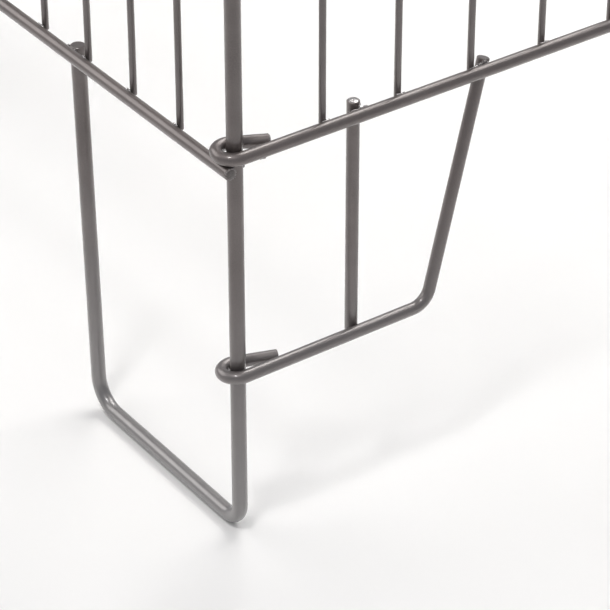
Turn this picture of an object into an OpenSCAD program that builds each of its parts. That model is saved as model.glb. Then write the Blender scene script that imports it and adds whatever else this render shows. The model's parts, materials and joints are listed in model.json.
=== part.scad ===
// Folding wire mesh container on four rod feet.
// Two rigid side frames stand on U-shaped feet. The front and the back are each two mesh leaves,
// joined in the middle and hung on the corner posts by eyes bent from their own rails, so that they
// fold outwards. A wire floor hangs on the left side frame, rests on the right one and swings up.
// Origin at the centre of the footprint on the ground, +X to the right, +Y to the back, +Z up.

/* [Rods] */
// Diameter of the corner posts, feet, top rails and centre hinge posts
post_d = 8; // [7:0.5:10]
// Diameter of the horizontal rails, ties, brackets and braces
rail_d = 6.6; // [5.6:0.2:7]
// Diameter of the upright mesh wires and the floor wires
wire_d = 3.6; // [3:0.2:4.6]
// Diameter of the floor's cross rods, hooks and rests, and of the centre hinge loops
hook_d = 5; // [4:0.5:5.5]

/* [Mesh] */
// Distance from a corner post to the first upright wire of a leaf
leaf_first_wire = 49; // [44:1:60]
// Spacing of the upright wires of a leaf
leaf_pitch = 45; // [40:0.5:50]
// Upright wires in a leaf
leaf_wires = 5; // [4:1:7]
// Distance from a corner post to the first upright wire of a side
side_first_wire = 43.25; // [40:0.25:50]
// Spacing of the upright wires of a side
side_pitch = 41.5; // [38:0.5:48]
// Upright wires in a side
side_wires = 13; // [11:1:15]

/* [Levels] */
// Height of the container to the top of the top rails
frame_h = 900; // [840:5:960]
// Height of the lowest rail of the leaves
low_rail_z = 225.3; // [210:0.1:240]
// Height of the bracket that braces each leg
bracket_z = 100.4; // [90:0.1:120]
// Height of the ledge that carries the floor
ledge_z = 330; // [310:5:400]
// How far a side tie lies below the leaf rail that rests on it
tie_drop = 6.9; // [6.9:0.1:7.5]

/* [Feet] */
// Length of a foot from the post to its inner leg
foot_l = 134.5; // [120:0.5:150]
// Lean of the inner leg away from the post, in degrees
foot_lean = 1.5; // [0:0.1:3]
// Bend radius at the foot of the post
foot_bend = 12; // [10:1:16]
// Bend radius at the foot of the inner leg
heel_bend = 16; // [12:1:20]
// Bend radius at the ends of the top rail
top_bend = 14; // [10:1:16]

/* [Hinge eyes] */
// Clearance between an eye and its post
eye_gap = 0.4; // [0.4:0.05:0.6]
// Bend radius of a rail's eye
rail_eye_r = 7.9; // [7.9:0.1:8.4]
// Offset of a rail's eye away from the leaf
rail_eye_shift = 1; // [0.5:0.1:1]
// Length of the straight tail of a rail's eye
rail_tail = 18.5; // [12:0.5:18.5]
// Angle by which that tail leans back towards its rail
rail_tail_lean = 27; // [22:1:27]
// Bend radius of a bracket's eye
bracket_eye_r = 7.9; // [7.8:0.1:8.2]
// Offset of a bracket's eye away from the leaf
bracket_eye_shift = 0.2; // [0:0.1:0.4]
// Length of the straight tail of a bracket's eye
bracket_tail = 22; // [14:0.5:22]
// Angle by which that tail leans back towards its rail
bracket_tail_lean = 23; // [18:1:23]
// Angle by which a bracket's eye tilts down behind the post
bracket_eye_tilt = 6; // [0:1:6]

/* [Leg bracket] */
// Reach of the bracket from the post, at its own height
bracket_reach = 111.1; // [100:0.1:120]
// Bend radius of the bracket
bracket_bend = 11.5; // [10:0.5:20]
// Distance from the post to the upright brace
brace_x = 68.5; // [65:0.5:75]

/* [Hidden] */
$fn = 48;

CORNERS = ["front_left", "front_right", "back_left", "back_right"];
ENDS = ["front", "back"];
SIDES = ["left", "right"];
LEVELS = [1, 2, 3, 4];

// Rod ends are cut square with a small chamfer
chamfer = 0.4;
// Where a straight meets a bend at an odd angle, its core runs on into the bend below a hairline seam
seam = 0.02;
core_inset = 0.6;
core_reach = 1;

// Sine and cosine of the lean of a bracket's end: a triangle whose sides are whole numbers
bracket_slope = [7, 24] / 25;
// Reach of the outlines that cut bends, beyond any bend's outer radius
cut_reach = 25;

// Distance of the centre hinge post from the end post of the other leaf
hinge_gap = 16;
end_post_x = leaf_first_wire + leaf_wires * leaf_pitch;
hinge_x = end_post_x + hinge_gap;
// Spacing of the corner posts, across the front and from front to back
span_x = 2 * hinge_x;
span_y = 2 * side_first_wire + (side_wires - 1) * side_pitch;

// Offsets across a leaf, seen from its corner post: outwards is negative
rail_y = -(post_d / 2 + rail_d / 2 + eye_gap);
wire_y = rail_y + rail_d / 2 + wire_d / 2;
brace_y = rail_y + rail_d;
centre_post_y = rail_y + rail_d / 2 + post_d / 2;

// Offsets across a side frame, seen from its corner post: outwards is negative
tie_x = -(post_d / 2 + rail_d / 2);
side_wire_x = tie_x + rail_d / 2 + wire_d / 2;
ledge_x = side_wire_x + wire_d / 2 + rail_d / 2;

// Levels
top_rail_z = frame_h - post_d / 2;
post_top_z = top_rail_z - top_bend;
// Room between the top eye and the bend of the top rail
top_eye_room = 10.5;
top_leaf_rail_z = post_top_z - top_eye_room;
rail_step = (top_leaf_rail_z - low_rail_z) / (len(LEVELS) - 1);
function rail_z(level) = low_rail_z + (level - 1) * rail_step;

// Rods run a little past what they are welded to
overhang = 3.3;
brace_overhang = 5.4;
post_overhang = 5;
// The inner leg of a foot ends behind the lowest tie
inner_leg_top_z = rail_z(1) - tie_drop + 1.6;

// Centre hinge loops, held between the rails
loop_count = len(LEVELS) - 1;
loop_r = post_d / 2 + hook_d / 2 + eye_gap;
loop_pad_d = 2.4;

// Floor, measured from the axis of the left ledge
floor_hook_r = rail_d / 2 + hook_d / 2 + eye_gap;
floor_arm_t = -14;
floor_rod_t = floor_arm_t + hook_d;
floor_edge_t = floor_rod_t + hook_d;
floor_wire_t = floor_rod_t + hook_d / 2 + wire_d / 2;
floor_span = span_x - 2 * ledge_x;
floor_margin = 15;
floor_first_rod = 20;
floor_rod_count = 4;
floor_rod_step = (floor_span - 2 * floor_first_rod) / (floor_rod_count - 1);
floor_wire_count = 12;
floor_wire_step = (span_y - 2 * floor_margin) / (floor_wire_count + 1);
floor_wire_start = 15;
arm_bend = 5;
arm_l = 26;
hook_wrap = 190;
// Gap between a rest and the ledge below it
rest_gap = 0.3;
rest_t = rail_d / 2 + hook_d / 2 + rest_gap;
rest_riser = floor_span - 7.7;
rest_tip = floor_span + 2;
// Hooks and rests stand in the gaps after these side wires
HOOK_GAPS = [1, 4, 7, 10];

// Rod along +Z from the origin. An end is cut with a chamfer, or left plain where it meets a bend
module rod(d, l, low_cut = true, high_cut = true) {
    r = d / 2;
    low = low_cut ? chamfer : 0;
    high = high_cut ? chamfer : 0;
    rotate_extrude()
        polygon([
            [0, 0],
            [r - low, 0],
            if (low_cut) [r, chamfer],
            if (high_cut) [r, l - chamfer],
            [r - high, l],
            [0, l],
        ]);
}

// Rod along +Z from the origin whose joined ends run on into a bend; the high end is cut if it isn't joined
module core_rod(d, l, low_joined = true, high_joined = false) {
    r = d / 2;
    core_r = r - core_inset;
    rotate_extrude()
        polygon([
            [0, low_joined ? -core_reach : 0],
            if (low_joined) [core_r, -core_reach],
            if (low_joined) [core_r, seam],
            [r, low_joined ? seam : 0],
            [r, high_joined ? l - seam : l - chamfer],
            [high_joined ? core_r : r - chamfer, high_joined ? l - seam : l],
            if (high_joined) [core_r, l + core_reach],
            [0, high_joined ? l + core_reach : l],
        ]);
}

// Rod along +X from the origin
module rod_x(d, l, low_cut = true, high_cut = true) {
    rotate([0, 90, 0])
        rod(d, l, low_cut, high_cut);
}

// Rod along +Y from the origin
module rod_y(d, l, low_cut = true, high_cut = true) {
    rotate([-90, 0, 0])
        rod(d, l, low_cut, high_cut);
}

// Bent stretch of rod in the XY plane, around the origin, from one angle on through a sweep
module bend(d, r, start, sweep) {
    rotate_extrude(angle = sweep, start = start)
        translate([r, 0])
            circle(d = d);
}

// Bent stretch of rod in the XY plane, around the origin, inside an outline that it is cut to
module cut_bend(d, r, outline) {
    intersection() {
        rotate_extrude()
            translate([r, 0])
                circle(d = d);
        linear_extrude(height = 2 * d, center = true)
            polygon(outline);
    }
}

// The same bend in the XZ plane and in the YZ plane
module bend_xz(d, r, start, sweep) {
    rotate([90, 0, 0])
        bend(d, r, start, sweep);
}

module bend_yz(d, r, start, sweep) {
    rotate([90, 0, 90])
        bend(d, r, start, sweep);
}

// Puts a front left piece at any corner: its origin is the post's axis on the ground
module at_corner(c) {
    right = c == "front_right" || c == "back_right";
    back = c == "back_left" || c == "back_right";
    mirror([right ? 1 : 0, 0, 0])
        mirror([0, back ? 1 : 0, 0])
            translate([-span_x / 2, -span_y / 2, 0])
                children();
}

// Puts a left side piece on either side, and a front piece at either end
module at_side(s) {
    at_corner(str("front_", s))
        children();
}

module at_end(e, s) {
    at_corner(str(e, "_", s))
        children();
}

// Puts a floor piece on the axis of the left ledge, level with the front left post
module on_floor() {
    at_corner("front_left")
        translate([ledge_x, 0, ledge_z])
            children();
}

// Corner post, foot and inner leg, bent from one rod
module leg() {
    ground_z = post_d / 2;
    heel_turn = 90 - foot_lean;
    heel_tangent = heel_bend * tan(heel_turn / 2);
    heel_y = foot_l - heel_tangent;
    inner_y = heel_y + heel_bend * sin(heel_turn);
    inner_z = ground_z + heel_bend * (1 - cos(heel_turn));
    color("dimgray")
        union() {
            translate([0, 0, ground_z + foot_bend])
                rod(post_d, post_top_z - ground_z - foot_bend, false, false);
            translate([0, foot_bend, ground_z + foot_bend])
                bend_yz(post_d, foot_bend, 180, 90);
            translate([0, foot_bend, ground_z])
                rod_y(post_d, heel_y - foot_bend, false, false);
            translate([0, heel_y, ground_z + heel_bend])
                bend_yz(post_d, heel_bend, 270, heel_turn);
            translate([0, inner_y, inner_z])
                rotate([-foot_lean, 0, 0])
                    core_rod(post_d, (inner_leg_top_z - inner_z) / cos(foot_lean));
        }
}

// Top rail of a side frame, bent down onto both posts
module top_rail() {
    color("dimgray")
        union() {
            translate([0, top_bend, post_top_z])
                bend_yz(post_d, top_bend, 90, 90);
            translate([0, top_bend, top_rail_z])
                rod_y(post_d, span_y - 2 * top_bend, false, false);
            translate([0, span_y - top_bend, post_top_z])
                bend_yz(post_d, top_bend, 0, 90);
        }
}

// Horizontal tie of a side frame, welded to the outside of both posts
module tie(level) {
    past_post = post_d / 2 + overhang;
    color("gray")
        translate([tie_x, -past_post, rail_z(level) - tie_drop])
            rod_y(rail_d, span_y + 2 * past_post);
}

// Upright wires of a side frame, on the inside of its ties
module side_mesh() {
    low = rail_z(1) - tie_drop - 1;
    high = rail_z(4) - tie_drop + 1;
    color("darkgray")
        for (i = [0 : side_wires - 1])
            translate([side_wire_x, side_first_wire + i * side_pitch, low])
                rod(wire_d, high - low);
}

// Ledge on the inside of a side frame's wires, which carries the floor
module ledge() {
    post_room = post_d / 2 + 2;
    color("gray")
        translate([ledge_x, post_room, ledge_z])
            rod_y(rail_d, span_y - 2 * post_room);
}

// Eye around a post: the bend and the straight tail, for a rod that runs along +X at rail_y
module eye(eye_r, shift, tail, lean) {
    outline = [
        [0, 0],
        [sin(lean), cos(lean)] * cut_reach,
        [-cut_reach, cut_reach],
        [-cut_reach, -cut_reach],
        [0, -cut_reach],
    ];
    translate([-shift, rail_y + eye_r, 0]) {
        cut_bend(rail_d, eye_r, outline);
        rotate([0, 0, -lean])
            translate([0, eye_r, 0])
                rotate([0, 90, 0])
                    core_rod(rail_d, tail);
    }
}

// Rail of a leaf, with the eye that hangs it on the post
module leaf_rail(level, post_x) {
    color("gray")
        translate([0, 0, rail_z(level)])
            union() {
                eye(rail_eye_r, rail_eye_shift, rail_tail, rail_tail_lean);
                translate([-rail_eye_shift, rail_y, 0])
                    rod_x(rail_d, rail_eye_shift + post_x + post_overhang, false);
            }
}

// Upright wires of a leaf, on the inside of its rails
module leaf_mesh() {
    low = rail_z(1) - 0.5;
    high = rail_z(4) + 0.5;
    color("darkgray")
        for (i = [0 : leaf_wires - 1])
            translate([leaf_first_wire + i * leaf_pitch, wire_y, low])
                rod(wire_d, high - low);
}

// Bracket below a leaf: an eye on the post, a rail, and a sloping end that leans behind the leaf's low rail
module bracket() {
    rise = rail_z(1) - bracket_z;
    inward = atan2(brace_y - rail_y, rise);
    tangent = bracket_bend * bracket_slope[1] / (1 + bracket_slope[0]);
    bend_x = bracket_reach - tangent;
    slope_start = [bracket_slope[1], 0, 1 - bracket_slope[0]];
    slope_l = (rise / cos(inward) + overhang) / bracket_slope[1] - tangent;
    outline = [
        [0, 0],
        [0, -cut_reach],
        [cut_reach, -cut_reach],
        [bracket_slope[1], -bracket_slope[0]] * cut_reach,
    ];
    color("gray")
        translate([0, 0, bracket_z])
            union() {
                translate([0, rail_y, 0])
                    rotate([-bracket_eye_tilt, 0, 0])
                        translate([0, -rail_y, 0])
                            eye(bracket_eye_r, bracket_eye_shift, bracket_tail, bracket_tail_lean);
                translate([-bracket_eye_shift, rail_y, 0])
                    rotate([0, 90, 0])
                        core_rod(rail_d, bracket_eye_shift + bend_x, true, true);
                translate([bend_x, rail_y, 0])
                    rotate([-inward, 0, 0]) {
                        translate([0, 0, bracket_bend])
                            rotate([90, 0, 0])
                                cut_bend(rail_d, bracket_bend, outline);
                        translate(slope_start * bracket_bend)
                            rotate([0, asin(bracket_slope[0]), 0])
                                rod(rail_d, slope_l, false);
                    }
            }
}

// Upright brace behind a bracket and the low rail
module brace() {
    low = bracket_z - brace_overhang;
    high = rail_z(1) + brace_overhang;
    color("gray")
        translate([brace_x, brace_y, low])
            rod(rail_d, high - low);
}

// Upright at the centre of the front or back, behind the rails of its leaf
module centre_post(x) {
    low = rail_z(1) - post_overhang;
    high = rail_z(4) + post_overhang;
    color("dimgray")
        translate([x, centre_post_y, low])
            rod(post_d, high - low);
}

// Loops that hang a left leaf's end post on the hinge post of the right leaf, with their weld pads
module hinge_loops() {
    color("darkgray")
        for (i = [1 : loop_count])
            translate([hinge_x, centre_post_y, rail_z(i) + rail_step / 2])
                union() {
                    bend(hook_d, loop_r, -90, 180);
                    for (m = [0, 1])
                        mirror([0, m, 0]) {
                            translate([-hinge_gap - overhang, loop_r, 0])
                                rod_x(hook_d, hinge_gap + overhang, true, false);
                            translate([-hinge_gap, post_d / 2, 0])
                                rod_y(loop_pad_d, loop_r - post_d / 2, false, false);
                        }
                }
}

// Rods across the floor, from front to back
module floor_cross_rods() {
    color("gray")
        on_floor()
            for (i = [0 : floor_rod_count - 1])
                translate([floor_first_rod + i * floor_rod_step, floor_margin - overhang, floor_rod_t])
                    rod_y(hook_d, span_y - 2 * (floor_margin - overhang));
}

// Rods along the front and the back edge of the floor
module floor_edge_rods() {
    color("gray")
        on_floor()
            for (y = [floor_margin, span_y - floor_margin])
                translate([floor_wire_start, y, floor_edge_t])
                    rod_x(hook_d, floor_span - 2 * floor_wire_start);
}

// Floor wires, from left to right on the cross rods
module floor_wires() {
    color("darkgray")
        on_floor()
            for (i = [1 : floor_wire_count])
                translate([floor_wire_start, floor_margin + i * floor_wire_step, floor_wire_t])
                    rod_x(wire_d, floor_span - 2 * floor_wire_start);
}

// Places of the hooks and rests, midway between side wires
module at_hook_gaps() {
    for (i = HOOK_GAPS)
        translate([0, side_first_wire + (i + 0.5) * side_pitch, 0])
            children();
}

// Hooks that wrap the left ledge, where the floor turns
module floor_hooks() {
    riser_l = -floor_arm_t - arm_bend;
    color("gray")
        on_floor()
            at_hook_gaps()
                union() {
                    bend_xz(hook_d, floor_hook_r, 0, hook_wrap);
                    translate([floor_hook_r, 0, -riser_l])
                        rod(hook_d, riser_l, false, false);
                    translate([floor_hook_r + arm_bend, 0, -riser_l])
                        bend_xz(hook_d, arm_bend, 180, 90);
                    translate([floor_hook_r + arm_bend, 0, floor_arm_t])
                        rod_x(hook_d, arm_l, false);
                }
}

// Cranked rests that lie on the right ledge
module floor_rests() {
    riser_l = rest_t - floor_arm_t - 2 * arm_bend;
    tip_l = rest_tip - rest_riser - arm_bend;
    color("gray")
        on_floor()
            at_hook_gaps()
                union() {
                    translate([rest_riser - arm_bend - arm_l, 0, floor_arm_t])
                        rod_x(hook_d, arm_l, true, false);
                    translate([rest_riser - arm_bend, 0, floor_arm_t + arm_bend])
                        bend_xz(hook_d, arm_bend, 270, 90);
                    translate([rest_riser, 0, floor_arm_t + arm_bend])
                        rod(hook_d, riser_l, false, false);
                    translate([rest_riser + arm_bend, 0, rest_t - arm_bend])
                        bend_xz(hook_d, arm_bend, 90, 90);
                    translate([rest_riser + arm_bend, 0, rest_t])
                        rod_x(hook_d, tip_l, false);
                }
}

// Where a leaf's rails end: past the end post on the left, past the hinge post on the right
function leaf_end_x(c) = c == "front_left" || c == "back_left" ? end_post_x : hinge_x;

for (c = CORNERS) {
    at_corner(c) leg();
    for (n = LEVELS)
        at_corner(c) leaf_rail(n, leaf_end_x(c));
    at_corner(c) leaf_mesh();
    at_corner(c) bracket();
    at_corner(c) brace();
}
for (e = ENDS) {
    at_end(e, "left") centre_post(end_post_x);
    at_end(e, "right") centre_post(hinge_x);
    at_end(e, "left") hinge_loops();
}
for (s = SIDES) {
    at_side(s) top_rail();
    for (n = LEVELS)
        at_side(s) tie(n);
    at_side(s) side_mesh();
    at_side(s) ledge();
}
floor_cross_rods();
floor_edge_rods();
floor_wires();
floor_hooks();
floor_rests();
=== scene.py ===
"""Looks of a folding wire mesh container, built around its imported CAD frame.

Every rod is a CAD node with a procedural satin coating. The pieces made here are what the CAD leaves
out: the weld nuggets where rods cross, the spatter beside them, the runs that the coating left, and the
rough rims and faces of cut ends. Each rides on the body whose rods it is on.
"""

import json
import math
import random

import bmesh
import bpy
from mathutils import Matrix, Vector, noise


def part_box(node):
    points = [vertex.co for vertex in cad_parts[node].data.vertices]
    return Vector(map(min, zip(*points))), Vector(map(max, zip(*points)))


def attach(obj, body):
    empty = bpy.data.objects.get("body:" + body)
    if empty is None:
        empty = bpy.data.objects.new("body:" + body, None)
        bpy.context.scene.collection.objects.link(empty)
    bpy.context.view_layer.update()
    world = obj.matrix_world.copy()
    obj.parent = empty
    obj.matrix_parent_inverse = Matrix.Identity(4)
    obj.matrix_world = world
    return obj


MM = 0.001
UP = Vector((0, 0, 1))
DOWN = Vector((0, 0, -1))

# What the frame holds
CORNERS = ("front_left", "front_right", "back_left", "back_right")
LEVELS = (1, 2, 3, 4)
LEAF_WIRES = 5
SIDE_WIRES = 13
FLOOR_WIRES = 12
FLOOR_RODS = 4
# How far the eyes' tails lean towards the post's line, and how far the bracket's eye is tipped, in degrees
RAIL_TAIL_LEAN = 27
BRACKET_TAIL_LEAN = 23
BRACKET_TILT = 6
# All tails end nearer than this to the post's line
TAIL_REACH = 40 * MM

# Seeds of the random draws: each corner or side adds its number, and each kind of piece its own step
LEAF_SEED = 11
SIDE_SEED = 31
FLOOR_SEED = 41
BEAD_STEP = 300
CUT_END_STEP = 500
CUT_FACE_STEP = 700

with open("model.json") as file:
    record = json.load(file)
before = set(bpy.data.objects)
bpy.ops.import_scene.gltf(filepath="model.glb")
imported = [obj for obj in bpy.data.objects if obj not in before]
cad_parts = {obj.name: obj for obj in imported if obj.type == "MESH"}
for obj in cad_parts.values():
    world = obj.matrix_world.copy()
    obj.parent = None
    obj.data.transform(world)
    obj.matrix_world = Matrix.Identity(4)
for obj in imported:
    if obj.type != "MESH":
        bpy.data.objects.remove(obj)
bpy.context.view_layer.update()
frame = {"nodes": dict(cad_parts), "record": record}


def size_of(node):
    low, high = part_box(node)
    return Vector(high) - Vector(low)


POST_R = size_of("front_left_leg").x / 2
RAIL_R = size_of("left_tie_1").x / 2
WIRE_R = size_of("left_wires").x / 2
HOOK_R = size_of("floor_cross_rods").z / 2


# ---------------------------------------------------------------- materials

# How rough the detail of a noise is, and the middle range of its values
NOISE_ROUGHNESS = 0.55
NOISE_LOW = 0.3
NOISE_HIGH = 0.7

METALLIC = 0.75
COAT = 0.80
COAT_ROUGHNESS = 0.12
# Sizes of the grain in the coating
CLOUD_SIZE = 28 * MM
PATCH_SIZE = 6 * MM
PEEL_SIZE = 1.5 * MM
LUMP_SIZE = 1.2 * MM
GRIT_SIZE = 0.5 * MM
FLAKE_SIZE = 0.45 * MM
GRIT_DEPTH = 0.012 * MM
# Strengths of the bumps: of the peel and grit, and of the lumps
FINE_STRENGTH = 0.5
LUMP_STRENGTH = 0.8
# How much of the flakes' tone shows, and how much brighter than the lightest tone they are
FLAKE_SHARE = 0.35
FLAKE_GAIN = 1.30
# The feet are painted paler, as painted light bounced up from the ground, fading out by this height
PAINTED_BOUNCE_LIGHT = (0.255, 0.247, 0.246)
PAINTED_BOUNCE_HEIGHT = 160 * MM

# Each coating: its darkest and lightest tone, its lowest and highest roughness, and the depths of its
# orange peel and of its lumps in millimetres
COATINGS = {
    "post_coating": ((0.118, 0.101, 0.097), (0.150, 0.130, 0.125), 0.36, 0.45, 0.02, 0.0),
    "rail_coating": ((0.136, 0.117, 0.112), (0.172, 0.149, 0.143), 0.42, 0.51, 0.02, 0.0),
    "wire_coating": ((0.130, 0.114, 0.110), (0.164, 0.145, 0.141), 0.34, 0.44, 0.02, 0.0),
    "weld_coating": ((0.115, 0.104, 0.102), (0.200, 0.184, 0.181), 0.12, 0.24, 0.04, 0.30),
    "cut_end_coating": ((0.150, 0.137, 0.134), (0.235, 0.217, 0.213), 0.20, 0.36, 0.04, 0.20),
    # The beads' tone is a painted highlight: pale to stand in for the glints on spatter and on the braces'
    # cut tops
    "bead_coating": ((0.340, 0.322, 0.318), (0.600, 0.580, 0.574), 0.08, 0.18, 0.03, 0.12),
    "cut_face_coating": ((0.045, 0.040, 0.038), (0.100, 0.089, 0.086), 0.30, 0.50, 0.05, 0.25),
}


def new_material(name):
    """A material, its node tree and its only shader, a principled one."""
    material = bpy.data.materials.new(name)
    material.use_nodes = True
    tree = material.node_tree
    tree.nodes.clear()
    output = tree.nodes.new("ShaderNodeOutputMaterial")
    shader = tree.nodes.new("ShaderNodeBsdfPrincipled")
    tree.links.new(shader.outputs["BSDF"], output.inputs["Surface"])
    return material, tree, shader


def noise_map(tree, coords, scale, detail):
    """A noise texture whose middle range is stretched to run from 0 to 1."""
    texture = tree.nodes.new("ShaderNodeTexNoise")
    texture.inputs["Scale"].default_value = scale
    texture.inputs["Detail"].default_value = detail
    texture.inputs["Roughness"].default_value = NOISE_ROUGHNESS
    tree.links.new(coords, texture.inputs["Vector"])
    stretch = tree.nodes.new("ShaderNodeMapRange")
    stretch.inputs["From Min"].default_value = NOISE_LOW
    stretch.inputs["From Max"].default_value = NOISE_HIGH
    tree.links.new(texture.outputs["Fac"], stretch.inputs["Value"])
    return stretch.outputs["Result"]


def blend_colours(tree, factor, first, second):
    """A mix of two colours, each a socket or a plain colour."""
    mix = tree.nodes.new("ShaderNodeMix")
    mix.data_type = "RGBA"
    mix.clamp_factor = True
    tree.links.new(factor, mix.inputs["Factor"])
    for name, value in (("A", first), ("B", second)):
        socket = [s for s in mix.inputs if s.name == name and s.type == "RGBA"][0]
        if isinstance(value, bpy.types.NodeSocket):
            tree.links.new(value, socket)
        else:
            socket.default_value = (*value, 1.0)
    return [s for s in mix.outputs if s.type == "RGBA"][0]


def bump_layer(tree, height, distance, strength, below=None):
    """A bump of this depth in metres, on top of another bump."""
    bump = tree.nodes.new("ShaderNodeBump")
    bump.inputs["Distance"].default_value = distance
    bump.inputs["Strength"].default_value = strength
    tree.links.new(height, bump.inputs["Height"])
    if below is not None:
        tree.links.new(below, bump.inputs["Normal"])
    return bump.outputs["Normal"]


def near_floor(tree, coords):
    """A share that is 1 at the floor and fades out upwards."""
    parts = tree.nodes.new("ShaderNodeSeparateXYZ")
    tree.links.new(coords, parts.inputs["Vector"])
    fade = tree.nodes.new("ShaderNodeMapRange")
    fade.inputs["From Max"].default_value = PAINTED_BOUNCE_HEIGHT
    fade.inputs["To Min"].default_value = 1.0
    fade.inputs["To Max"].default_value = 0.0
    tree.links.new(parts.outputs["Z"], fade.inputs["Value"])
    return fade.outputs["Result"]


def base_colour(tree, coords, dark, light):
    """A tone that is cloudy in places, with bright flakes in it and painted light from the ground on the
    feet.
    """
    cloud = noise_map(tree, coords, 1 / CLOUD_SIZE, detail=3.0)
    flake = noise_map(tree, coords, 1 / FLAKE_SIZE, detail=1.0)
    flake_share = tree.nodes.new("ShaderNodeMath")
    flake_share.operation = "MULTIPLY"
    flake_share.inputs[1].default_value = FLAKE_SHARE
    tree.links.new(flake, flake_share.inputs[0])
    bright = tuple(min(1.0, channel * FLAKE_GAIN) for channel in light)
    colour = blend_colours(tree, cloud, dark, light)
    colour = blend_colours(tree, flake_share.outputs["Value"], colour, bright)
    # Painted bounce light: the tone turns paler towards the ground
    return blend_colours(tree, near_floor(tree, coords), colour, PAINTED_BOUNCE_LIGHT)


def coating(name, dark, light, rough_low, rough_high, peel, lumps):
    """Satin metallic coating on steel rod: a warm grey with orange peel, and with lumps where it ran."""
    material, tree, shader = new_material(name)
    coords = tree.nodes.new("ShaderNodeTexCoord").outputs["Object"]
    tree.links.new(base_colour(tree, coords, dark, light), shader.inputs["Base Color"])
    gloss = tree.nodes.new("ShaderNodeMapRange")
    gloss.inputs["To Min"].default_value = rough_low
    gloss.inputs["To Max"].default_value = rough_high
    tree.links.new(noise_map(tree, coords, 1 / PATCH_SIZE, detail=4.0), gloss.inputs["Value"])
    tree.links.new(gloss.outputs["Result"], shader.inputs["Roughness"])
    shader.inputs["Metallic"].default_value = METALLIC
    shader.inputs["Coat Weight"].default_value = COAT
    shader.inputs["Coat Roughness"].default_value = COAT_ROUGHNESS
    waves = noise_map(tree, coords, 1 / PEEL_SIZE, detail=2.0)
    normal = bump_layer(tree, waves, peel * MM, FINE_STRENGTH)
    grit = noise_map(tree, coords, 1 / GRIT_SIZE, detail=1.0)
    normal = bump_layer(tree, grit, GRIT_DEPTH, FINE_STRENGTH, normal)
    if lumps:
        runs = noise_map(tree, coords, 1 / LUMP_SIZE, detail=3.0)
        normal = bump_layer(tree, runs, lumps * MM, LUMP_STRENGTH, normal)
    tree.links.new(normal, shader.inputs["Normal"])
    return material


MATERIALS = {name: coating(name, *values) for name, values in COATINGS.items()}

slots = {part["node"]: part["material_slot"] for part in frame["record"]["subparts"]}
for name, node in frame["nodes"].items():
    node.data.materials.clear()
    node.data.materials.append(MATERIALS[slots[name]])


# ---------------------------------------------------------------- places


class Corner:
    """Coordinates from a corner post: x along its leaf, y inwards and z up, in metres."""

    def __init__(self, name):
        self.name = name
        self.sx = 1 if name.endswith("left") else -1
        self.sy = 1 if name.startswith("front") else -1
        low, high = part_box(name + "_leg")
        self.x = (low[0] + high[0]) / 2
        self.y = low[1] + POST_R if self.sy > 0 else high[1] - POST_R
        self.along = self.turned(1, 0, 0)
        self.inwards = self.turned(0, 1, 0)

    def at(self, x, y, z):
        return Vector((self.x + self.sx * x, self.y + self.sy * y, z))

    def turned(self, x, y, z):
        """A direction given in the corner's own terms."""
        return Vector((self.sx * x, self.sy * y, z))

    def local(self, point):
        """Distances of a point from the post, in the corner's own terms."""
        return Vector(((point[0] - self.x) * self.sx, (point[1] - self.y) * self.sy, point[2]))

    def span(self, node):
        """Lowest and highest distances of a node from the post, in the corner's own terms."""
        low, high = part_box(node)
        a, b = self.local(low), self.local(high)
        return Vector(map(min, a, b)), Vector(map(max, a, b))


def middle(first, last):
    return (first + last) / 2


def spread(first, last, count):
    """Evenly spaced places from first to last."""
    return [first + (last - first) * i / (count - 1) for i in range(count)]


# ---------------------------------------------------------------- lumps, welds and spatter

# A lump's wobble: how far into the noise it starts at most, and the share and grain of its finer part
WOBBLE_OFFSET = 50
FINE_SHARE = 0.4
FINE_GRAIN = 2.7

# A nugget: its size as a share of the thin rod's radius, and its form along, across and through
NUGGET_SIZE = 0.80
NUGGET_FORM = (1.35, 0.85, 0.48)
# Its two bulges: their places as shares of a rod's radius, their size as a share of the nugget's, and
# their form
BULGE_REACH = (0.72, 1.0)
BULGE_DROP = (-0.12, 0.22)
BULGE_DEPTH = (0.0, 0.35)
BULGE_SIZE = (0.55, 0.85)
BULGE_FORM = (1.0, 0.95, 0.70)

# Spatter at a weld: half its row as a share of the thin rod's radius, how far a bead strays from its
# place in millimetres, how high on the thick rod it sits in degrees, its radius in millimetres, and its
# height as a share of that
SPATTER_ROW = 1.25
SPATTER_STRAY = 0.25
SPATTER_ANGLE = (28, 52)
SPATTER_RADIUS = (0.50, 0.95)
SPATTER_FLAT = 0.8
SPATTER_PER_WIRE = 4
SPATTER_PER_BRACE = 7


class Lumps:
    """A mesh of many small irregular lumps that ride on one body."""

    def __init__(self, name, body, material, slot, seed):
        self.name, self.body, self.slot = name, body, slot
        self.material = MATERIALS[material]
        self.bm = bmesh.new()
        self.random = random.Random(seed)

    def add(self, centre, radii, axes=None, rough=0.22, grain=1.3, level=2):
        """A lump with these radii in millimetres along its three axes, wobbled by noise."""
        made = bmesh.ops.create_icosphere(self.bm, subdivisions=level, radius=1.0)
        offset = Vector([self.jitter(-WOBBLE_OFFSET, WOBBLE_OFFSET) for _ in range(3)])
        turn = Matrix(axes).transposed() if axes else Matrix.Identity(3)
        for vertex in made["verts"]:
            unit = vertex.co.normalized()
            wobble = 1 + rough * noise.noise(unit * grain + offset)
            wobble += rough * FINE_SHARE * noise.noise(unit * grain * FINE_GRAIN - offset)
            local = Vector(u * r * MM * wobble for u, r in zip(unit, radii))
            vertex.co = Vector(centre) + turn @ local

    def jitter(self, low, high):
        return self.random.uniform(low, high)

    def done(self):
        mesh = bpy.data.meshes.new(self.name)
        for face in self.bm.faces:
            face.smooth = True
        self.bm.to_mesh(mesh)
        self.bm.free()
        piece = bpy.data.objects.new(self.name, mesh)
        bpy.context.scene.collection.objects.link(piece)
        mesh.materials.append(self.material)
        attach(piece, self.body)


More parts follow.
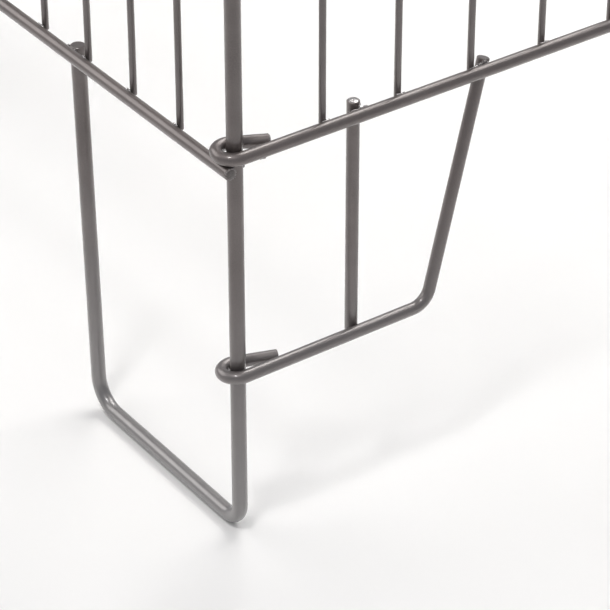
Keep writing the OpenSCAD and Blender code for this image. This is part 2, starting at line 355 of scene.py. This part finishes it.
def cross_weld(lumps, point, along, across, through, thin_r, thick_r):
    """Nugget where a thin rod crosses a thick one. It lies along the contact and bulges out on both
    sides of the thin rod. point is the contact; through runs from the thick rod to the thin one."""
    side = NUGGET_SIZE * thin_r / MM
    axes = (along, across, through)
    lumps.add(point, [side * share for share in NUGGET_FORM], axes, rough=0.18)
    for sign in (-1, 1):
        reach = thin_r * lumps.jitter(*BULGE_REACH)
        drop = thick_r * lumps.jitter(*BULGE_DROP)
        depth = thin_r * lumps.jitter(*BULGE_DEPTH)
        size = side * lumps.jitter(*BULGE_SIZE)
        place = point + along * sign * reach + across * drop + through * depth
        lumps.add(place, [size * share for share in BULGE_FORM], axes, rough=0.3)


def toe_beads(lumps, point, along, across, through, thin_r, thick_r, count):
    """Small beads of spatter on the thick rod, at the toe of the thin one that stands behind it. across
    points to the side of the thick rod that they sit on."""
    for i in range(count):
        place = (i + 0.5) / count * 2 - 1
        sideways = thin_r * SPATTER_ROW * place + lumps.jitter(-SPATTER_STRAY, SPATTER_STRAY) * MM
        angle = math.radians(lumps.jitter(*SPATTER_ANGLE))
        on_rod = across * thick_r * math.cos(angle) + through * thick_r * (math.sin(angle) - 1)
        size = lumps.jitter(*SPATTER_RADIUS)
        radii = (size, size, size * SPATTER_FLAT)
        lumps.add(point + along * sideways + on_rod, radii, rough=0.4, level=1)


def wire_weld(welds, beads, point, along, through, level):
    """Weld of a mesh wire to a rail or tie. The lowest one has spatter above only."""
    cross_weld(welds, point, along, UP, through, WIRE_R, RAIL_R)
    toe_beads(beads, point, along, UP, through, WIRE_R, RAIL_R, SPATTER_PER_WIRE)
    if level != LEVELS[0]:
        toe_beads(beads, point, along, DOWN, through, WIRE_R, RAIL_R, SPATTER_PER_WIRE)


# ---------------------------------------------------------------- leaves

# A brace's weld: the thin rod's radius that it counts with, its two rows of spatter, and how far the
# lumps at its sides are from the middle, in rail radii
BRACE_WELD = 0.9
BRACE_ROWS = (1.0, 1.25)
BRACE_SIDE = 1.05
# How high the large lump sits, how far outwards, inwards and up the small one is, and the radii of both,
# in millimetres
LARGE_LUMP_RISE = 0.6
LARGE_LUMP_RADII = (1.5, 1.8, 1.3)
SMALL_LUMP_PLACE = (1.6, -0.5, 1.9)
SMALL_LUMP_RADII = (0.9, 1.0, 0.8)
# The disc of coating on a brace's cut top, pale as a painted highlight: its depth below the top and its
# radii in millimetres
TOP_DEPTH = 0.1
TOP_RADII = (2.85, 2.85, 0.45)
# The beads beside it: their count, and the ranges of their angle in degrees and of their height and
# radius in millimetres
TOP_BEADS = 9
TOP_BEAD_ANGLE = (-75, 5)
TOP_BEAD_HEIGHT = (-3.4, -0.8)
TOP_BEAD_RADIUS = (0.3, 0.6)
# The row of welds at a bracket's tip, in rail radii: its distance from the tip, the places in it, and how
# it climbs. The radii are in millimetres
TIP_INSET = 2.6
TIP_SHIFTS = (-0.9, 0.25, 1.2)
TIP_RISE = 0.35
TIP_SLOPE = 0.25
TIP_RADII = (1.9, 1.3, 1.7)
# Runs of coating under an eye: distance from the post in millimetres, drop in rail radii, and size. They
# sit this far inwards of the rail's outer line, in rail radii
EYE_RUNS = ((9.2, 0.96, 0.95), (10.9, 1.00, 1.15), (12.4, 0.97, 0.80))
RUN_INWARDS = 0.9
RUN_FORM = (1.3, 0.9, 0.75)
# Domes of coating on the tails' cut ends, in millimetres: their heights, their radius, how deep their
# middles sit, and how near to its end the points of a tail's rim are
RAIL_DOME = 1.15
BRACKET_DOME = 0.55
DOME_RADIUS = 3.12
DOME_DEPTH = 0.25
DOME_RIM = 0.05


def leaf_crossings(corner, welds, beads):
    """Welds and spatter where a leaf's wires and its middle post cross its rails."""
    wires_low, wires_high = corner.span(corner.name + "_wires")
    wires = spread(wires_low.x + WIRE_R, wires_high.x - WIRE_R, LEAF_WIRES)
    end, side = corner.name.split("_")
    post_low, post_high = corner.span(end + ("_end_post" if side == "left" else "_hinge_post"))
    post_x = middle(post_low.x, post_high.x)
    for level in LEVELS:
        low, high = corner.span(f"{corner.name}_rail_{level}")
        z = middle(low.z, high.z)
        contact = low.y + 2 * RAIL_R
        for x in wires:
            wire_weld(welds, beads, corner.at(x, contact, z), corner.along, corner.inwards, level)
        post_contact = corner.at(post_x, contact, z)
        cross_weld(welds, post_contact, corner.along, UP, corner.inwards, RAIL_R, RAIL_R)


def brace_welds(corner, welds, beads, x, contact, z):
    """Weld of a brace to the rod in front of it, with two rows of spatter and lumps at its sides."""
    point = corner.at(x, contact, z)
    cross_weld(welds, point, corner.along, UP, corner.inwards, RAIL_R * BRACE_WELD, RAIL_R)
    for row in BRACE_ROWS:
        toe_beads(beads, point, corner.along, UP, corner.inwards, RAIL_R * row, RAIL_R, SPATTER_PER_BRACE)
    outwards, inwards, up = (distance * MM for distance in SMALL_LUMP_PLACE)
    for sign in (-1, 1):
        side_x = x + sign * RAIL_R * BRACE_SIDE
        welds.add(corner.at(side_x, contact, z + LARGE_LUMP_RISE * MM), LARGE_LUMP_RADII, rough=0.35)
        small = corner.at(side_x + sign * outwards, contact + inwards, z + up)
        welds.add(small, SMALL_LUMP_RADII, rough=0.35)


def brace_top(corner, beads, x, y, z):
    """A brace's cut top, painted pale as a highlight, and spatter beside it."""
    beads.add(corner.at(x, y, z - TOP_DEPTH * MM), TOP_RADII, rough=0.12, grain=2.5, level=3)
    for _ in range(TOP_BEADS):
        angle = math.radians(beads.jitter(*TOP_BEAD_ANGLE))
        height = beads.jitter(*TOP_BEAD_HEIGHT) * MM
        size = beads.jitter(*TOP_BEAD_RADIUS)
        place = corner.at(x + RAIL_R * math.cos(angle), y + RAIL_R * math.sin(angle), z + height)
        beads.add(place, (size, size, size), level=1)


def bracket_pieces(corner, welds, beads):
    """Welds of the bracket, its brace and the lowest rail, and the runs of coating under the eye."""
    low, high = corner.span(corner.name + "_bracket")
    brace_low, brace_high = corner.span(corner.name + "_brace")
    rail_low, rail_high = corner.span(corner.name + "_rail_1")
    contact = low.y + 2 * RAIL_R
    rail_z = middle(rail_low.z, rail_high.z)
    brace_x = middle(brace_low.x, brace_high.x)
    for z in (low.z + RAIL_R, rail_z):
        brace_welds(corner, welds, beads, brace_x, contact, z)
    brace_top(corner, beads, brace_x, middle(brace_low.y, brace_high.y), brace_high.z)
    tip_x = high.x - TIP_INSET * RAIL_R
    for shift in TIP_SHIFTS:
        height = rail_z + RAIL_R * (TIP_RISE + TIP_SLOPE * shift)
        place = corner.at(tip_x + shift * RAIL_R, contact, height)
        welds.add(place, TIP_RADII, rough=0.35)
    for distance, drop, size in EYE_RUNS:
        place = corner.at(distance * MM, rail_low.y + RAIL_R * RUN_INWARDS, rail_z - RAIL_R * drop)
        welds.add(place, [size * share for share in RUN_FORM], rough=0.35)


def tail_dome(corner, ends, node, lean_degrees, tilt_degrees, height):
    """A rough dome of coating on the cut end of an eye's tail."""
    lean, tilt = math.radians(lean_degrees), math.radians(-tilt_degrees)
    along = Vector((math.cos(lean), -math.sin(lean), 0))
    across = Vector((math.sin(lean), math.cos(lean), 0))
    above = Vector(UP)
    for axis in (along, across, above):
        axis.rotate(Matrix.Rotation(tilt, 3, "X"))
    # The tail's end is what reaches furthest along it, of all that lies near the post and inwards of its
    # outer line
    mesh = frame["nodes"][node].data
    places = [corner.local(vertex.co) for vertex in mesh.vertices]
    tail = [place for place in places if place.y > -POST_R and 0 < place.x < TAIL_REACH]
    reach = max(place.dot(along) for place in tail)
    rim = [place for place in tail if place.dot(along) > reach - DOME_RIM * MM]
    centre = sum(rim, Vector()) / len(rim) - along * DOME_DEPTH * MM
    axes = [corner.turned(*axis) for axis in (along, across, above)]
    radii = (height, DOME_RADIUS, DOME_RADIUS)
    ends.add(corner.at(*centre), radii, axes, rough=0.10, grain=2.2, level=3)


def leaf_pieces(corner, seed):
    """Welds, spatter, runs and cut ends of one leaf."""
    name = corner.name
    body = name + "_leaf"
    welds = Lumps(name + "_leaf_welds", body, "weld_coating", "wire_coating", seed)
    # The beads are painted pale, as painted glints
    beads = Lumps(name + "_leaf_beads", body, "bead_coating", "wire_coating", seed + BEAD_STEP)
    ends = Lumps(name + "_leaf_cut_ends", body, "cut_end_coating", "rail_coating", seed + CUT_END_STEP)
    leaf_crossings(corner, welds, beads)
    bracket_pieces(corner, welds, beads)
    for level in LEVELS:
        tail_dome(corner, ends, f"{name}_rail_{level}", RAIL_TAIL_LEAN, 0, RAIL_DOME)
    tail_dome(corner, ends, name + "_bracket", BRACKET_TAIL_LEAN, BRACKET_TILT, BRACKET_DOME)
    for lumps in (welds, beads, ends):
        lumps.done()


# ---------------------------------------------------------------- sides

# Lumps where a post meets a tie: one beside the post, proud of its contact with the tie, and a drip on
# the post below the tie. How far out and to the side they are is in post radii, the rest in millimetres
POST_LUMP_PROUD = 0.6
POST_LUMP_SIDE = 0.9
POST_LUMP_RADII = (1.2, 1.3, 2.0)
DRIP_OUT = 0.93
DRIP_SIDE = 0.42
DRIP_DROP = 1.6
DRIP_RADII = (0.75, 0.8, 1.1)
# Lumps on both sides of an inner leg at the lowest tie, in the same terms
LEG_LUMP_PROUD = 0.4
LEG_LUMP_SIDE = 0.75
LEG_LUMP_RADII = (1.2, 1.5, 1.9)
# The bead of coating around a tie's cut end: its count of lumps, how far inside the rod's edge they sit in
# millimetres, how far they stray as a share of their spacing, and their depth and radii in millimetres
RIM_LUMPS = 18
RIM_INSET = 0.36
RIM_STRAY = 0.2
RIM_DEPTH = 0.25
RIM_RADII = (0.55, 0.40, 0.55)
# The face within it: its depth as a share of the bead's, and its radii in millimetres
FACE_DEPTH_SHARE = 0.3
FACE_RADII = (2.5, 0.34, 2.5)
# The bead of the butt weld between a post and its top rail. The radius of its ring is in post radii
BUTT_LUMPS = 16
BUTT_RING = 0.97
BUTT_RADII = (0.85, 0.85, 0.75)


def tie_crossings(side, front, depth, wires, welds, beads):
    """Welds and spatter where a side's wires and its two posts cross its ties."""
    along = Vector((0, 1, 0))
    for level in LEVELS:
        low, high = front.span(f"{side}_tie_{level}")
        z = middle(low.z, high.z)
        for y in wires:
            wire_weld(welds, beads, front.at(high.x, y, z), along, front.along, level)
        for y, inner in ((0, 1), (depth, -1)):
            cross_weld(welds, front.at(high.x, y, z), along, UP, front.along, RAIL_R, RAIL_R)
            beside = front.at(high.x + POST_LUMP_PROUD * MM, y + inner * POST_R * POST_LUMP_SIDE, z)
            welds.add(beside, POST_LUMP_RADII, rough=0.3)
            below = front.at(POST_R * DRIP_OUT, y - inner * POST_R * DRIP_SIDE, z - DRIP_DROP * MM)
            welds.add(below, DRIP_RADII, rough=0.3)


def tie_cut_ends(side, front, ends, faces):
    """The bead of coating around each cut end of a side's ties, and the face within it."""
    for level in LEVELS:
        low, high = front.span(f"{side}_tie_{level}")
        x, z = middle(low.x, high.x), middle(low.z, high.z)
        for end, inset in ((low.y, RIM_DEPTH * MM), (high.y, -RIM_DEPTH * MM)):
            for i in range(RIM_LUMPS):
                angle = 2 * math.pi * (i + ends.jitter(-RIM_STRAY, RIM_STRAY)) / RIM_LUMPS
                ring = RAIL_R - RIM_INSET * MM
                place = front.at(x + ring * math.cos(angle), end + inset, z + ring * math.sin(angle))
                ends.add(place, RIM_RADII, rough=0.35, level=1)
            face = front.at(x, end + inset * FACE_DEPTH_SHARE, z)
            faces.add(face, FACE_RADII, rough=0.08, grain=2.2, level=3)


def ledge_crossings(side, front, wires, welds):
    """Welds where a side's wires cross its ledge, which stands inside them."""
    low, high = front.span(side + "_ledge")
    z = middle(low.z, high.z)
    for y in wires:
        point = front.at(low.x, y, z)
        cross_weld(welds, point, Vector((0, 1, 0)), UP, -front.along, WIRE_R, RAIL_R)


def leg_welds(side, corner, welds):
    """Welds of an inner leg to the lowest tie, and of its post to the top rail."""
    tie_low, tie_high = corner.span(side + "_tie_1")
    leg_high = corner.span(corner.name + "_leg")[1]
    for sign in (-1, 1):
        leg_y = leg_high.y - POST_R + sign * POST_R * LEG_LUMP_SIDE
        place = corner.at(tie_high.x + LEG_LUMP_PROUD * MM, leg_y, middle(tie_low.z, tie_high.z))
        welds.add(place, LEG_LUMP_RADII, rough=0.3)
    ring = POST_R * BUTT_RING
    for i in range(BUTT_LUMPS):
        angle = 2 * math.pi * i / BUTT_LUMPS
        place = corner.at(ring * math.cos(angle), ring * math.sin(angle), leg_high.z)
        welds.add(place, BUTT_RADII, rough=0.25, level=1)


def side_pieces(side, seed):
    """Welds, spatter and cut ends of one side frame."""
    body = side + "_side"
    welds = Lumps(body + "_welds", body, "weld_coating", "wire_coating", seed)
    # The beads are painted pale, as painted glints
    beads = Lumps(body + "_beads", body, "bead_coating", "wire_coating", seed + BEAD_STEP)
    ends = Lumps(body + "_cut_ends", body, "cut_end_coating", "rail_coating", seed + CUT_END_STEP)
    faces = Lumps(body + "_cut_faces", body, "cut_face_coating", "rail_coating", seed + CUT_FACE_STEP)
    front, back = Corner("front_" + side), Corner("back_" + side)
    wires_low, wires_high = front.span(side + "_wires")
    wires = spread(wires_low.y + WIRE_R, wires_high.y - WIRE_R, SIDE_WIRES)
    tie_crossings(side, front, abs(front.y - back.y), wires, welds, beads)
    tie_cut_ends(side, front, ends, faces)
    ledge_crossings(side, front, wires, welds)
    for corner in (front, back):
        leg_welds(side, corner, welds)
    for lumps in (welds, beads, ends, faces):
        lumps.done()


# ---------------------------------------------------------------- floor of the container


def floor_pieces(seed):
    """Welds of the wire floor."""
    welds = Lumps("floor_welds", "floor", "weld_coating", "wire_coating", seed)
    rods_low, rods_high = map(Vector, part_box("floor_cross_rods"))
    wires_low, wires_high = map(Vector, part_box("floor_wires"))
    edge_low, edge_high = map(Vector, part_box("floor_edge_rods"))
    wires = spread(wires_low.y + WIRE_R, wires_high.y - WIRE_R, FLOOR_WIRES)
    along, across = Vector((0, 1, 0)), Vector((1, 0, 0))
    for x in spread(rods_low.x + HOOK_R, rods_high.x - HOOK_R, FLOOR_RODS):
        for y in wires:
            cross_weld(welds, Vector((x, y, rods_high.z)), along, across, UP, WIRE_R, HOOK_R)
        for y in (edge_low.y + HOOK_R, edge_high.y - HOOK_R):
            cross_weld(welds, Vector((x, y, rods_high.z)), along, across, UP, HOOK_R, HOOK_R)
    welds.done()


for index, name in enumerate(CORNERS):
    leaf_pieces(Corner(name), LEAF_SEED + index)
for index, side in enumerate(("left", "right")):
    side_pieces(side, SIDE_SEED + index)
floor_pieces(FLOOR_SEED)


# ---------------------------------------------------------------- stage, light and camera

# The stage: its radius in metres, its darkest and lightest tone, and the scales of its cloud and tooth
STAGE_RADIUS = 30.0
STAGE_SEGMENTS = 96
STAGE_DARK = (0.885, 0.880, 0.870)
STAGE_LIGHT = (0.915, 0.912, 0.905)
STAGE_ROUGHNESS = 0.44
STAGE_CLOUD = 2.5
STAGE_TOOTH = 900.0
TOOTH_DEPTH = 0.04 * MM
TOOTH_STRENGTH = 0.25
# The camera: its direction in degrees, its distance in metres from the point it looks at, its lens in
# millimetres, and the range in metres that it sees
CAMERA_AZIMUTH = 35.53
CAMERA_ELEVATION = 33.64
CAMERA_DISTANCE = 1.44663
CAMERA_LENS = 172.637
CAMERA_SENSOR = 36.0
CLIP_START = 0.05
CLIP_END = 200.0
# The point it looks at: on the front left post at this height, then to the right and up in the picture
AIM_HEIGHT = 0.100
AIM_RIGHT = 0.03317
AIM_UP = 0.03179

# Each softbox: its place and its target in from_post's terms, its size in metres, its power in watts, its
# spread in degrees and its colour
SOFTBOXES = {
    "back_softbox": ((0.7, 1.2, 1.5), (0.3, 0.62, 0), (1.5, 1.1), 8.5, 80, (1.0, 0.985, 0.96)),
    "left_softbox": ((-2.0, 0.8, 1.5), (0, 0.1, 0.1), (2.6, 1.4), 23, 180, (1.0, 0.975, 0.95)),
    "overhead_softbox": ((-0.3, -0.55, 1.85), (0, 0, 0), (0.24, 0.24), 8.5, 180, (1.0, 0.99, 0.98)),
}
WORLD_COLOUR = (0.95, 0.96, 1.0)
WORLD_STRENGTH = 0.44

post = Corner("front_left")
azimuth, elevation = math.radians(CAMERA_AZIMUTH), math.radians(CAMERA_ELEVATION)
level_share = math.cos(elevation)
forward = Vector((math.sin(azimuth) * level_share, math.cos(azimuth) * level_share, -math.sin(elevation)))
flat_forward = Vector((math.sin(azimuth), math.cos(azimuth), 0))
right = Vector((math.cos(azimuth), -math.sin(azimuth), 0))


def stage_material():
    """A plain white sheet with a faint tooth."""
    material, tree, shader = new_material("studio_floor")
    coords = tree.nodes.new("ShaderNodeTexCoord").outputs["Object"]
    tone = noise_map(tree, coords, STAGE_CLOUD, detail=3.0)
    colour = blend_colours(tree, tone, STAGE_DARK, STAGE_LIGHT)
    tree.links.new(colour, shader.inputs["Base Color"])
    shader.inputs["Roughness"].default_value = STAGE_ROUGHNESS
    tooth = noise_map(tree, coords, STAGE_TOOTH, detail=2.0)
    tree.links.new(bump_layer(tree, tooth, TOOTH_DEPTH, TOOTH_STRENGTH), shader.inputs["Normal"])
    return material


def add_stage():
    mesh = bpy.data.meshes.new("studio_floor")
    bm = bmesh.new()
    bmesh.ops.create_circle(bm, cap_ends=True, segments=STAGE_SEGMENTS, radius=STAGE_RADIUS)
    bm.to_mesh(mesh)
    bm.free()
    floor = bpy.data.objects.new("studio_floor", mesh)
    bpy.context.scene.collection.objects.link(floor)
    mesh.materials.append(stage_material())


def from_post(sideways, back, height):
    """A place seen from the camera: to the right of the post, behind it, and above the ground."""
    return Vector((post.x, post.y, 0)) + right * sideways + flat_forward * back + UP * height


def add_softbox(name, place, target, size, power, spread_degrees, colour):
    light = bpy.data.lights.new(name, "AREA")
    light.shape = "RECTANGLE"
    light.size, light.size_y = size
    light.energy = power
    light.color = colour
    light.spread = math.radians(spread_degrees)
    lamp = bpy.data.objects.new(name, light)
    bpy.context.scene.collection.objects.link(lamp)
    lamp.location = from_post(*place)
    lamp.rotation_euler = (from_post(*target) - from_post(*place)).to_track_quat("-Z", "Y").to_euler()
    lamp.visible_camera = False


def add_world():
    world = bpy.data.worlds.new("studio")
    bpy.context.scene.world = world
    world.use_nodes = True
    background = world.node_tree.nodes["Background"]
    background.inputs["Color"].default_value = (*WORLD_COLOUR, 1.0)
    background.inputs["Strength"].default_value = WORLD_STRENGTH


def add_camera():
    lens = bpy.data.cameras.new("camera")
    lens.lens = CAMERA_LENS
    lens.sensor_width = CAMERA_SENSOR
    lens.clip_start = CLIP_START
    lens.clip_end = CLIP_END
    camera = bpy.data.objects.new("camera", lens)
    bpy.context.scene.collection.objects.link(camera)
    up = right.cross(forward)
    target = Vector((post.x, post.y, AIM_HEIGHT)) + right * AIM_RIGHT + up * AIM_UP
    camera.location = target - forward * CAMERA_DISTANCE
    camera.rotation_euler = forward.to_track_quat("-Z", "Y").to_euler()
    bpy.context.scene.camera = camera


add_stage()
for name, values in SOFTBOXES.items():
    add_softbox(name, *values)
add_world()
add_camera()
bpy.context.scene.view_settings.view_transform = "Standard"
bpy.context.scene.view_settings.look = "None"
